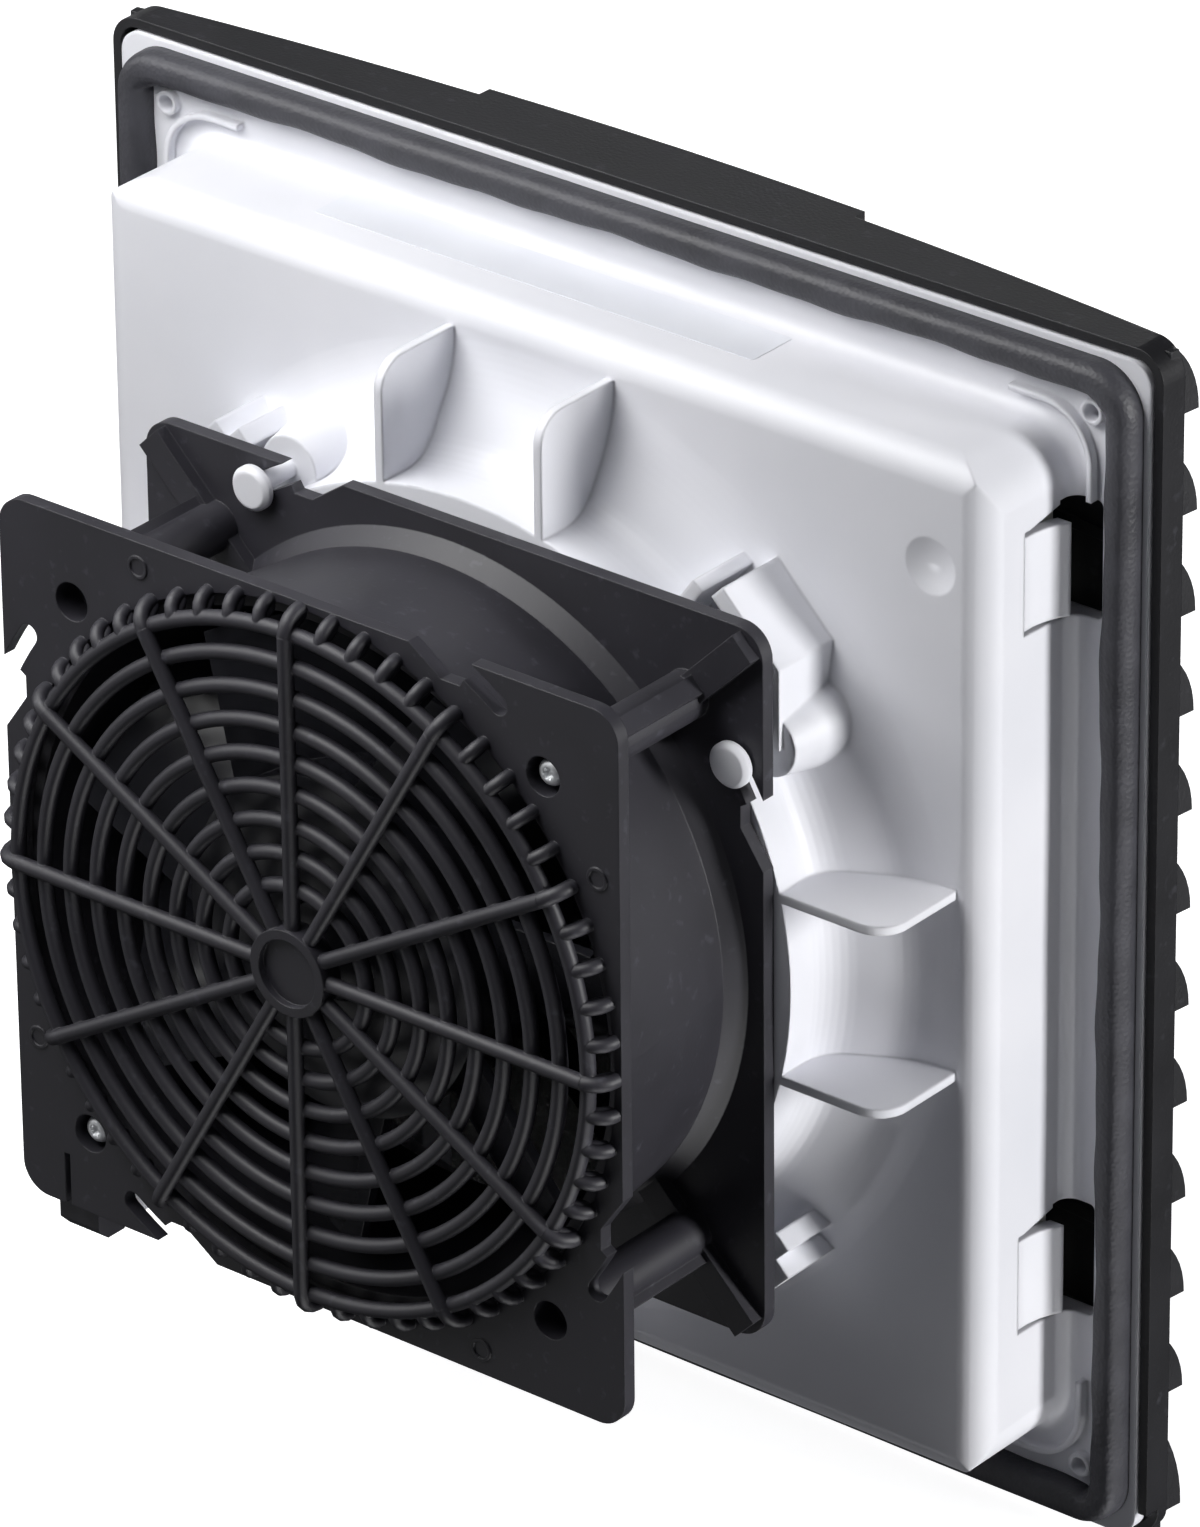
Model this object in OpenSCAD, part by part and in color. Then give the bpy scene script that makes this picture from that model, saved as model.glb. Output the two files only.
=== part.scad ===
// Cabinet filter fan: a moulded base that clips into a panel cut-out, with a louvre grille outside
// the cabinet and a fan unit, held by a bayonet, inside it.
// Shapes are drawn as seen from the fan side: x to the right, y up, z into the cabinet.
// in_place() turns them into the frame of the part, with +Y into the cabinet and +Z up.

/* [Base] */
// Width of the box that goes through the cut-out
box_w = 172.5; // [170:0.5:174]
// Width of the flange round the box
flange_lip = 13.75; // [13:0.25:14.5]
// Thickness of the flange
flange_t = 2.6; // [2.2:0.1:3.2]
// Corner radius of the flange
flange_r = 4; // [2:0.5:6]
// Depth of the box behind the flange
box_depth = 21.5; // [19:0.5:26]
// Wall thickness of the base
wall = 2.2; // [1.8:0.1:2.6]
// Radius of the upright corners of the box
box_corner_r = 8; // [6:0.5:10]
// Radius of the rear edges of the box
box_edge_r = 4.5; // [3.5:0.5:6]
// Radius of the cove where the box meets the flange
root_r = 2.5; // [1.5:0.5:3]
// Flat strip left round the foot of the inlet cone
cone_land = 4.5; // [3:0.5:6]
// Slope of the inlet cone
cone_slope = 30; // [26:1:34]
// Radius of the hollow curve at the foot of the cone
cone_foot_curve_r = 20; // [16:1:24]
// Radius of the hollow curve between cone and collar
cone_curve_r = 7; // [5:0.5:8]

/* [Fan seat] */
// Height of the collar rim over the rear face of the box
seat_h = 17.2; // [16:0.1:20]
// Outer radius of the collar
collar_r = 63.3; // [62:0.1:64.5]
// Radius of the air inlet in the collar
inlet_r = 57; // [55.5:0.5:58]
// Thickness of the collar rim
rim_h = 2; // [1.5:0.1:3]
// Distance between the two fins of a pair
fin_pitch = 31; // [26:0.5:34]
// Thickness of a fin
fin_t = 1.5; // [1.2:0.1:2]
// Radius of the nose of a fin
fin_nose_r = 5; // [3:0.5:7]
// Angle from the level line to a mushroom peg
peg_angle = 34.3; // [33:0.1:35]
// Distance from the plate edge in to the peg
peg_inset = 5.1; // [4.6:0.1:5.6]
// Radius of a peg stem
stem_r = 1.4; // [1.2:0.05:1.6]
// Radius of a peg head
head_r = 3.7; // [3.2:0.1:3.9]
// Thickness of a peg head
head_t = 2; // [1.6:0.1:2.6]
// Height of the boss under a peg
boss_h = 12.5; // [10:0.5:14]
// Radius of that boss at its foot
boss_foot_r = 8; // [7:0.5:9]
// Radius of that boss at its top
boss_top_r = 5.4; // [4.5:0.1:5.8]
// Thickness of a pedestal wall
pedestal_t = 3; // [2:0.5:4]
// Chamfer at the corner of a pedestal
pedestal_chamfer = 10.6; // [8:0.1:12]
// Height of a pedestal over the rear face of the box
pedestal_h = 13.5; // [11:0.5:15]
// Height of the stepped feet under the other two corners
foot_h = 11.5; // [9:0.5:13]

/* [Snap clips] */
// Height of a clip tongue
clip_h = 15.4; // [14:0.1:16.5]
// Length of a clip tongue
clip_l = 7.2; // [6.5:0.1:8]
// How far the free end stands out of the wall
clip_out = 2.2; // [1.5:0.1:2.8]
// Distance of a clip centre from the corner of the box, before the rise
clip_inset = 26.6; // [24:0.1:32]
// How much higher than mid height the clips sit
clip_rise = 5.2; // [0:0.1:6]
// Depth at which the tongue joins the wall
clip_root = 10.8; // [10:0.1:13]
// Width of the slot beside a tongue at its root
clip_slot = 0.85; // [0.6:0.05:1.2]
// Room between a tongue and the upper end of its window
clip_room = 2.9; // [1.5:0.1:3.5]

/* [Gasket] */
// Width of the foam gasket
gasket_w = 5; // [4.6:0.1:5.6]
// Height of the foam gasket
gasket_h = 4; // [3:0.1:5]
// Distance of the gasket from the edge of the flange
gasket_edge = 1.2; // [1:0.1:2]
// Corner radius of the gasket centre line
gasket_r = 5.5; // [5:0.1:6.5]
// Distance of the screw eyes from the edges of the flange
eye_inset = 10; // [9.6:0.1:10.6]
// Radius of a screw hole in the flange
eye_hole_r = 1.4; // [1.1:0.1:1.5]

/* [Grille] */
// How far the grille stands past the flange at each side
grille_lap = 2; // [1.9:0.1:3]
// How much less the grille stands past the flange at its lower edge
grille_lift = 1; // [0.5:0.1:1.2]
// Wall thickness of the grille rim
rim_t = 1.6; // [1.3:0.05:1.6]
// Corner radius of the grille rim
grille_r = 5; // [4:0.5:7]
// Depth of the bowed front at mid width
bow_depth = 11.8; // [10.5:0.1:14]
// Radius of the bow, seen from above
bow_r = 840; // [760:10:1000]
// Distance between slats
slat_pitch = 16.65; // [16:0.05:17]
// Height of the hood of a slat
slat_h = 9.7; // [9:0.1:12]
// How far a slat stands out of the bow
slat_out = 3.9; // [3.5:0.1:4.5]
// Thickness of a slat
slat_t = 2; // [1.6:0.1:2.4]
// Width of the raised middle field
field_w = 73; // [60:1:80]
// Height of the raised middle field
field_h = 2.5; // [1.5:0.1:3]
// Distance between upright ribs behind the slats
rib_pitch = 36.5; // [34:0.5:38]
// Radius of a hinge pin
pin_r = 0.6; // [0.5:0.05:0.7]
// Length of a hinge pin
pin_l = 19; // [17:0.5:22]
// Distance of a hinge from the side of the grille
hinge_inset = 32; // [28:1:45]

/* [Filter mat] */
// Room round the filter mat
mat_room = 2.5; // [1.5:0.1:4]
// Thickness of the filter mat
mat_t = 12; // [9:0.5:13]
// Thickness of a bar behind the mat
bar_t = 2; // [1.5:0.1:3]
// Distance of those bars from the centre
bar_x = 28; // [22:0.5:36]

/* [Fan frame] */
// Width of the square plates beside the drum
plate_rim = 5.75; // [5.5:0.05:6]
// Thickness of the plates
plate_t = 2.4; // [2:0.1:2.8]
// Corner radius of the plates
plate_r = 5; // [4:0.5:6]
// Depth over both plates
fan_depth = 36.1; // [34:0.1:40]
// Distance of the corner posts from the edges of the plates
post_inset = 14.25; // [13.9:0.05:14.5]
// Radius of a corner post
post_r = 4; // [3.8:0.1:4.4]
// Outer radius of the drum at the inlet
drum_r = 54.5; // [54:0.1:55]
// How much wider the drum is at the outlet
drum_flare = 3.7; // [3.2:0.1:4]
// Wall thickness of the drum
drum_wall = 2; // [1.6:0.1:2.2]
// Radius of the motor base
base_r = 27; // [26.6:0.1:28]
// Thickness of the motor base and its struts
base_t = 3; // [2.5:0.1:3.5]
// Width of a motor strut
strut_w = 5; // [4:0.5:7]

/* [Guard] */
// How far the guard stands out of the plate
guard_rise = 3.9; // [3.4:0.1:4.4]
// Radius of a guard bar
bar_r = 1.25; // [1:0.05:1.4]
// Number of guard rings
ring_count = 9; // [6:1:9]
// Distance between guard rings
ring_pitch = 5.35; // [5:0.05:5.4]
// Number of spokes
spoke_count = 12; // [8:1:12]
// Number of short teeth from spoke to spoke
teeth_between = 4; // [2:1:4]
// Radius of the guard hub
guard_hub_r = 7.2; // [6:0.1:8]
// Radius of a corner recess in the plate
recess_r = 3.2; // [2.8:0.1:3.4]
// Depth of a corner recess
recess_d = 5; // [4:0.5:6]
// Radius of the screw hole in a corner
screw_hole_r = 1.7; // [1.6:0.05:1.9]

/* [Motor and impeller] */
// Radius of the shaft
shaft_r = 2.5; // [2:0.1:3]
// Outer radius of a bearing
bearing_r = 6.5; // [6:0.1:7]
// Width of a bearing
bearing_w = 4; // [3:0.5:5]
// Wall thickness of the bearing tube
tube_wall = 1.1; // [0.9:0.1:1.3]
// Outer radius of the stator
stator_r = 20.5; // [19:0.1:20.5]
// Height of the stator stack
stator_h = 10; // [8:0.5:11]
// Outer radius of the rotor can
can_r = 25.6; // [25:0.1:26]
// Wall thickness of the impeller hub
hub_wall = 2.4; // [2:0.1:3]
// Number of blades
blade_count = 7; // [5:1:9]
// Thickness of a blade
blade_t = 1.6; // [1.2:0.1:2]
// Angle of a blade to the plane of rotation
blade_pitch = 38; // [32:1:42]
// Gap between blade tips and drum
tip_gap = 1; // [0.8:0.1:1.6]

/* [Terminal] */
// Radius of the light grey terminal body
terminal_r = 4.2; // [3.6:0.1:4.6]
// Length of the light grey terminal body
terminal_l = 15; // [12:0.5:18]

/* [Hidden] */
$fn = 64;
// Small overlaps that fuse pieces of one moulding, and cuts that pass right through
fuse = 0.5;
through = 1;
// Clearances
seat_gap = 0.2;
soft_gap = 0.3;
slot_gap = 0.35;
run_gap = 0.05;
hinge_gap = 0.3;

// Flange, grille and mat, from the box
flange_w = box_w + 2 * flange_lip;
grille_w = flange_w + 2 * grille_lap;
mat_w = box_w - 2 * wall - 2 * mat_room;
eye_pitch = flange_w - 2 * eye_inset;
gasket_path = flange_w / 2 - gasket_edge - gasket_w / 2;
window_x = gasket_path - gasket_w / 2 - 2.2;
// Levels behind the mounting plane
seat_z = box_depth + seat_h;
plate_z = seat_z + seat_gap;
outer_z = plate_z + fan_depth;
inside_z = box_depth - wall;
// Square plates of the fan, from its drum
plate_w = 2 * (drum_r + plate_rim);
post_pitch = plate_w - 2 * post_inset;
// Cone and collar
cone_foot_r = box_w / 2 - cone_land;
curve_x = collar_r + cone_curve_r;
foot_dip = 0.04;
foot_z = cone_foot_curve_r - foot_dip;
curve_z = foot_z + (cone_curve_r - cone_foot_curve_r) * cos(cone_slope)
    + (cone_foot_r - curve_x + (cone_curve_r - cone_foot_curve_r) * sin(cone_slope)) * tan(cone_slope);
fin_reach = cone_foot_r - 0.5;
// Pegs and pedestals
peg_x = plate_w / 2 - peg_inset;
peg_circle_r = peg_x / cos(peg_angle);
head_z = plate_z + plate_t + slot_gap;
pedestal_x = plate_w / 2 - 2;
pedestal_y = plate_w / 2 - 9.25;
twist = 12;
opening_x = plate_w / 2 - 4.3;
// Snap clips
clip_y = box_w / 2 - clip_inset;
clip_hinge_r = wall * 0.73;
// Fan frame
drum_bore_r = drum_r - drum_wall;
drum_z = plate_z + plate_t;
drum_l = fan_depth - 2 * plate_t;
drum_out_r = drum_r + drum_flare;
outlet_r = drum_out_r - drum_wall;
bead_r = drum_r + 3.2;
bead_h = 3.5;
post_top_z = outer_z - recess_d - plate_t / 2;
// Guard
opening_r = drum_out_r - drum_wall / 2;
ring_r = opening_r - 1;
guard_z = outer_z + guard_rise;
ring_z = guard_z - bar_r * 0.9;
tooth_end_r = plate_w / 2 - 0.9;
// Grille and hinge
rim_z = -0.3;
hinge_x = grille_w / 2 - hinge_inset;
hinge_y = grille_lift + rim_t / 2 - grille_w / 2;
hinge_z = -flange_t - 1.8;
knuckle_r = 1.3;
lower_wall_z = -flange_t - 0.6;
lug_l = pin_l - 8;
bow_angle = asin((grille_w / 2 - rim_t / 2) / bow_r);
field_angle = asin(field_w / 2 / bow_r);
slat_lap = 1.4;
slat_in = 2.3;
deep_in = 5.4;
deep_angle = asin((box_w / 2 - 8) / bow_r);
cap_angle = asin(2 * rim_t / bow_r);
top_tip_inset = 28.4;
bottom_tip_inset = 4.6;
top_tip_y = grille_w / 2 - top_tip_inset;
bottom_tip_y = bottom_tip_inset - grille_w / 2;
slat_count = floor((top_tip_y - bottom_tip_y) / slat_pitch);
last_tip_y = top_tip_y - (slat_count - 1) * slat_pitch;
mat_side_z = -flange_t - 0.6;
// Filter mat
bar_z = mat_t - flange_t + soft_gap + 1.6;
mat_z = bar_z - soft_gap - mat_t;
bar_h = inside_z - bar_z - 1;
// Motor
base_z = plate_z + plate_t;
tube_l = 21;
stator_z = base_z + base_t + 4;
can_z = base_z + base_t + 1;
hub_top_z = outer_z - plate_t - 2.6;
hub_r = can_r + hub_wall;
tube_r = bearing_r + tube_wall;
coil_r = (stator_r - tube_r) * 0.38;
coil_x = tube_r + coil_r + 0.5;
can_wall = 1.2;
can_top_z = hub_top_z - hub_wall;
blade_h = hub_top_z - can_z - 2.2;
impeller_r = drum_bore_r - tip_gap;
// Terminal
terminal_x = -plate_w / 2 + 9.7;
terminal_y = -plate_w / 2 - 3.1;
cap_d = 6;

light_grey = "#e8e9ee";
black = "#26252b";
steel = "#b9bcc2";

// Frame and repeats

module in_place() {
    rotate([90, 0, 180]) children();
}

module four() {
    for (turn = [0 : 90 : 270]) rotate([0, 0, turn]) children();
}

module round_rect(w, h, r) {
    square([w - 2 * r, h], center = true);
    square([w, h - 2 * r], center = true);
    for (side = [-1, 1], up = [-1, 1]) translate([side * (w / 2 - r), up * (h / 2 - r)]) circle(r);
}

module round_square(w, r) {
    round_rect(w, w, r);
}

// Carries a flat section (x outward, y up) round a square path with rounded corners
module sweep_square(half, r) {
    four() {
        translate([half, half - r, 0]) rotate([90, 0, 0]) linear_extrude(2 * (half - r)) children();
        translate([half - r, half - r, 0]) rotate_extrude(angle = 90) translate([r, 0]) children();
    }
}

// Box with rounded upright corners and rounded far edges, standing on z = 0
module soft_box(w, depth, corner_r, edge_r) {
    intersection() {
        linear_extrude(depth) round_square(w, corner_r);
        for_side(w, depth, edge_r);
        rotate([0, 0, 90]) for_side(w, depth, edge_r);
    }
}

module for_side(w, depth, r) {
    translate([0, w, 0]) rotate([90, 0, 0]) linear_extrude(2 * w) {
        translate([-w / 2, -through]) square([w, depth - r + through]);
        translate([r - w / 2, -through]) square([w - 2 * r, depth + through]);
        for (side = [-1, 1]) translate([side * (w / 2 - r), depth - r]) circle(r);
    }
}

// Base

// Points of a hollow curve round a centre, from one angle to another
function hollow(x, z, r, from, to, steps) = [
    for (a = [from : (to - from) / steps : to + 0.001]) [x + r * cos(a), z + r * sin(a)]
];

// Half section of collar and cone at a distance under the outer skin, with hollow curves at both ends
module cone_section(skin, top, low) {
    polygon(concat(
        [[0, low], [0, top], [collar_r - skin, top]],
        hollow(curve_x, curve_z, cone_curve_r + skin, 180, 270 - cone_slope, 6),
        hollow(cone_foot_r, foot_z, cone_foot_curve_r + skin, 270 - cone_slope, 270, 8),
        [[cone_foot_r, low]]
    ));
}

module cone_outside() {
    translate([0, 0, box_depth]) rotate_extrude($fn = 128) cone_section(0, seat_h, -fuse);
}

module cone_inside() {
    translate([0, 0, box_depth]) rotate_extrude($fn = 128)
        cone_section(wall, seat_h - rim_h, -wall - through);
    translate([0, 0, box_depth]) cylinder(r = inlet_r, h = seat_h + through);
}

// One fin, drawn with its outer edge square to the wall and a rounded nose
module fin(x) {
    start = sqrt(pow(collar_r - wall / 2, 2) - x * x);
    translate([x - fin_t / 2, 0, box_depth]) rotate([90, 0, 90]) linear_extrude(fin_t) {
        translate([start, -fuse]) square([fin_reach - start, seat_h - fin_nose_r + fuse]);
        translate([start, -fuse]) square([fin_reach - fin_nose_r - start, seat_h + fuse]);
        translate([fin_reach - fin_nose_r, seat_h - fin_nose_r]) circle(fin_nose_r);
    }
}

// Wall under one corner of the fan: a side, a broad chamfer and a rib back to the collar
module pedestal() {
    outer = pedestal_x;
    inner = pedestal_x - pedestal_t;
    bevel = pedestal_x - pedestal_chamfer;
    bevel_y = pedestal_y + pedestal_chamfer;
    slant = pedestal_t * cos(45);
    rib_turn = 54.6;
    rib_t = 2.3;
    rib_end = 74.2;
    rib_start = collar_r - wall / 2;
    translate([0, 0, box_depth - fuse]) {
        linear_extrude(pedestal_h + fuse) polygon([
            [outer, peg_y()], [outer, pedestal_y], [bevel, bevel_y], [bevel - slant, bevel_y - slant],
            [inner, pedestal_y - pedestal_t * tan(22.5)], [inner, peg_y()]
        ]);
        rotate([0, 0, rib_turn]) translate([rib_start, -rib_t / 2, 0])
            cube([rib_end - rib_start, rib_t, pedestal_h + fuse]);
    }
}

// Stepped foot under the next corner, square to its diagonal
module stepped_foot() {
    near = 72.3;
    step = 3.35;
    half = 6.65;
    rotate([0, 0, 45]) translate([near, 0, box_depth - fuse]) {
        translate([0, -half, 0]) cube([step, 2 * half, foot_h + fuse]);
        translate([0, -half / 2, 0]) cube([2 * step, half, foot_h + fuse]);
    }
}

function peg_y() = peg_x * tan(peg_angle);

// Boss, stem and mushroom head that the bayonet slot slides under
module peg() {
    translate([peg_x, peg_y(), 0]) {
        translate([0, 0, box_depth - fuse]) cylinder(r1 = boss_foot_r, r2 = boss_top_r, h = boss_h + fuse);
        translate([0, 0, box_depth + boss_h - fuse])
            cylinder(r = stem_r, h = head_z - box_depth - boss_h + 2 * fuse);
        translate([0, 0, head_z]) rotate_extrude() polygon([
            [0, 0], [head_r - 0.4, 0], [head_r, 0.4],
            [head_r, head_t - 0.7], [head_r - 0.7, head_t], [0, head_t]
        ]);
    }
}

// Concave fillet between flange and box
module root_cove() {
    sweep_square(box_w / 2, box_corner_r) difference() {
        translate([-fuse, -fuse]) square(root_r + fuse);
        translate([root_r, root_r]) circle(root_r);
    }
}

// Screw eye and curved fence in one corner of the flange
module corner_details() {
    fence_r = 9.5;
    fence_t = 1;
    fence_h = 1.6;
    fence_leg = 6;
    eye_h = 1.2;
    bend = eye_pitch / 2 - fence_r + 0.5;
    translate([eye_pitch / 2, eye_pitch / 2, -fuse]) cylinder(r = eye_hole_r + 0.6, h = eye_h + fuse);
    translate([bend, bend, -fuse]) linear_extrude(fence_h + fuse) {
        intersection() {
            difference() {
                circle(fence_r);
                circle(fence_r - fence_t);
            }
            square(fence_r);
        }
        translate([-fence_leg, fence_r - fence_t]) square([fence_leg, fence_t]);
        translate([fence_r - fence_t, -fence_leg]) square([fence_t, fence_leg]);
    }
}

// Opening round a tongue: a cut that widens to the flange, a round seat for its root, a window
module clip_opening() {
    low = -clip_h / 2 - clip_slot;
    high = clip_h / 2 + clip_slot;
    window_low = low - 0.5;
    window_high = clip_h / 2 + clip_room;
    window_r = 1;
    reach = window_x - box_w / 2;
    translate([box_w / 2 - wall - through, 0, 0]) rotate([90, 0, 90])
        linear_extrude(wall + 2 * through) polygon([
            [window_low, -flange_t - through], [window_high, -flange_t - through],
            [window_high, 0], [high, clip_root], [low, clip_root], [window_low, 0]
        ]);
    translate([box_w / 2 - wall / 2, high, clip_root]) rotate([90, 0, 0])
        cylinder(r = clip_hinge_r + run_gap, h = high - low);
    translate([box_w / 2, (window_high + window_low) / 2, -flange_t - through])
        linear_extrude(flange_t + root_r + 2 * through)
            round_rect(2 * reach, window_high - window_low, window_r);
}

// Gate mark in a shallow dimple near one corner of the rear face
module gate_dimple() {
    ball_r = 12.5;
    dip = 0.9;
    translate([box_w / 2 - 10.2, box_w / 2 - 17.7, box_depth + ball_r - dip]) sphere(ball_r);
}

module housing_frame() {
    half_eye = eye_pitch / 2;
    color(light_grey) in_place() {
        difference() {
            union() {
                translate([0, 0, -flange_t]) linear_extrude(flange_t) round_square(flange_w, flange_r);
                soft_box(box_w, box_depth, box_corner_r, box_edge_r);
                root_cove();
                cone_outside();
                four() {
                    for (side = [-1, 1]) fin(side * fin_pitch / 2);
                    peg();
                    corner_details();
                }
                for (turn = [0, 180]) rotate([0, 0, turn]) {
                    pedestal();
                    rotate([0, 0, 90]) stepped_foot();
                }
            }
            translate([0, 0, -flange_t - through]) soft_box(
                box_w - 2 * wall, inside_z + flange_t + through, box_corner_r - wall, box_edge_r - wall
            );
            cone_inside();
            for (side = [0, 1], up = [-1, 1])
                mirror([side, 0, 0]) translate([0, clip_rise + up * clip_y, 0]) clip_opening();
            four() translate([half_eye, half_eye, -flange_t - through])
                cylinder(r = eye_hole_r, h = flange_t + 4 * through);
            gate_dimple();
        }
        mat_bars();
        hinge_ears();
    }
}

// Bars behind the filter mat, from wall to wall
module mat_bars() {
    span = box_w - wall;
    for (turn = [0, 90], side = [-1, 1])
        rotate([0, 0, turn]) translate([side * bar_x - bar_t / 2, -span / 2, bar_z])
            cube([bar_t, span, bar_h]);
}

// Ears in front of the flange that hold the hinge pins, either side of the grille's lug
module hinge_ears() {
    ear_l = (pin_l - lug_l) / 2 - hinge_gap;
    web = -flange_t - hinge_z + fuse;
    for (side = [-1, 1], end = [-1, 1])
        translate([side * hinge_x + end * (lug_l / 2 + hinge_gap + ear_l / 2), hinge_y, hinge_z])
            difference() {
                translate([-ear_l / 2, 0, 0]) {
                    rotate([0, 90, 0]) cylinder(r = knuckle_r, h = ear_l);
                    translate([0, -0.3 * knuckle_r, 0]) cube([ear_l, 1.6 * knuckle_r, web]);
                }
                translate([-ear_l, 0, 0]) rotate([0, 90, 0]) cylinder(r = pin_r, h = 2 * ear_l);
            }
}

module hinge_pins() {
    color(steel) in_place() for (side = [-1, 1])
        translate([side * hinge_x - pin_l / 2, hinge_y, hinge_z]) rotate([0, 90, 0])
            cylinder(r = pin_r, h = pin_l);
}

// Snap clips

// Section of a tongue, from its round root (y = 0) along an outward bow to its free end
module clip_section() {
    bow = (clip_l * clip_l + clip_out * clip_out) / (2 * clip_out);
    intersection() {
        translate([bow, 0]) difference() {
            circle(bow + wall, $fn = 128);
            circle(bow, $fn = 128);
        }
        translate([-2 * wall, -clip_l]) square([2 * wall + clip_out + through, clip_l]);
    }
    intersection() {
        translate([-wall / 2, 0]) circle(clip_hinge_r);
        translate([-wall, -fuse]) square([wall, clip_hinge_r + 2 * fuse]);
    }
}

module snap_clip(side, up) {
    color(light_grey) in_place() mirror([side, 0, 0])
        translate([box_w / 2, clip_rise + up * clip_y + clip_h / 2, clip_root])
            rotate([90, 0, 0]) linear_extrude(clip_h) clip_section();
}

// Gasket and filter mat

module gasket() {
    round_r = min(gasket_w / 3.2, gasket_h / 2);
    color("#48484d") in_place() sweep_square(gasket_path, gasket_r) {
        translate([-gasket_w / 2, 0]) square([gasket_w, gasket_h - round_r]);
        translate([round_r - gasket_w / 2, 0]) square([gasket_w - 2 * round_r, gasket_h]);
        for (side = [-1, 1])
            translate([side * (gasket_w / 2 - round_r), gasket_h - round_r]) circle(round_r);
    }
}

module filter_mat() {
    mat_r = 3;
    color("#f2f2ee") in_place() translate([0, 0, mat_z]) linear_extrude(mat_t) round_square(mat_w, mat_r);
}

// Grille

function bow_at(x) = bow_depth - x * x / (2 * bow_r);

// Turns a section (x out of the bow, y up) along the bowed front, from an angle back over a span
module along_bow(angle, span) {
    translate([0, 0, bow_r - bow_depth]) rotate([-90, 0, 0]) rotate([0, 0, 90 - angle])
        rotate_extrude(angle = span, $fn = 720) translate([bow_r, 0]) children();
}

// Section of a slat: a hood, upright at its tip at y = 0, hollow when it has a thickness;
// depth limits how far it goes behind the bow, proud lifts its outer skin
module slat_section(height, lap, depth, proud, thick) {
    arc_r = (slat_out * slat_out + height * height) / (2 * slat_out);
    intersection() {
        difference() {
            translate([slat_out + proud - arc_r, 0]) circle(arc_r);
            if (thick > 0) translate([slat_out - arc_r, 0]) circle(arc_r - thick);
        }
        translate([-depth, 0]) square([depth + slat_out + abs(proud) + through, height + lap]);
    }
}

// Baffle behind a slat, rising inward from the top of its hood
module baffle_section(height) {
    rise = 3.4;
    polygon([
        [-0.6, height - 1.4], [-0.6, height + 0.4],
        [-deep_in, height + rise], [-deep_in, height + rise - slat_t]
    ]);
}

// A slat over the whole width, raised in the middle field and closed at both ends
module slat(height, lap) {
    along_bow(bow_angle, 2 * bow_angle) slat_section(height, lap, slat_in, 0, slat_t);
    along_bow(field_angle, 2 * field_angle) slat_section(height, lap, slat_in, field_h, slat_t);
    for (side = [0, 1]) mirror([side, 0, 0])
        along_bow(bow_angle, cap_angle) slat_section(height - 0.3, 0, slat_in - 0.4, -slat_t / 2, 0);
}

// Closed strips at both sides, behind the hoods
module side_strips() {
    strip_t = 1.5;
    sunk = 0.5;
    strip_angle = asin((box_w / 2 - 10) / bow_r);
    low = grille_lift + rim_t / 2 - grille_w / 2;
    for (side = [0, 1]) mirror([side, 0, 0]) along_bow(bow_angle, bow_angle - strip_angle)
        translate([-sunk - strip_t, low]) square([strip_t, grille_w / 2 - rim_t / 2 - low]);
}

// Everything in front of a bowed surface that lies proud of the grille's own bow
module bow_body(proud, angle_w) {
    intersection() {
        translate([0, -grille_w, bow_r - bow_depth]) rotate([-90, 0, 0])
            cylinder(r = bow_r + proud, h = 2 * grille_w, $fn = 720);
        translate([-angle_w / 2, -grille_w, -4 * bow_depth]) cube([angle_w, 2 * grille_w, 8 * bow_depth]);
    }
}

// Rim: three walls reach round the edge of the flange, the lower one stops in front of it
module grille_rim() {
    deep = bow_depth + field_h + through;
    tall = grille_w - grille_lift;
    corner_y = grille_r + rim_t - grille_w / 2;
    station_z = hinge_z - knuckle_r - hinge_gap;
    difference() {
        intersection() {
            translate([0, grille_lift / 2, -deep]) linear_extrude(deep + rim_z) difference() {
                round_rect(grille_w, tall, grille_r);
                round_rect(grille_w - 2 * rim_t, tall - 2 * rim_t, grille_r - rim_t);
            }
            union() {
                bow_body(0, 2 * grille_w);
                bow_body(field_h, field_w);
            }
        }
        translate([-grille_w, -grille_w, lower_wall_z]) cube([2 * grille_w, grille_w + corner_y, deep]);
        for (side = [-1, 1])
            translate([side * hinge_x - pin_l / 2 - hinge_gap, -grille_w, station_z])
                cube([pin_l + 2 * hinge_gap, grille_w + corner_y, deep]);
    }
}

module hinge_lugs() {
    reach = knuckle_r + hinge_gap + 1.2;
    for (side = [-1, 1]) translate([side * hinge_x - lug_l / 2, hinge_y, hinge_z]) difference() {
        union() {
            rotate([0, 90, 0]) cylinder(r = knuckle_r, h = lug_l);
            translate([0, -0.45 * rim_t, -reach]) cube([lug_l, 0.9 * rim_t, reach]);
        }
        translate([-through, 0, 0]) rotate([0, 90, 0])
            cylinder(r = pin_r + run_gap, h = lug_l + 2 * through);
    }
}

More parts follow.
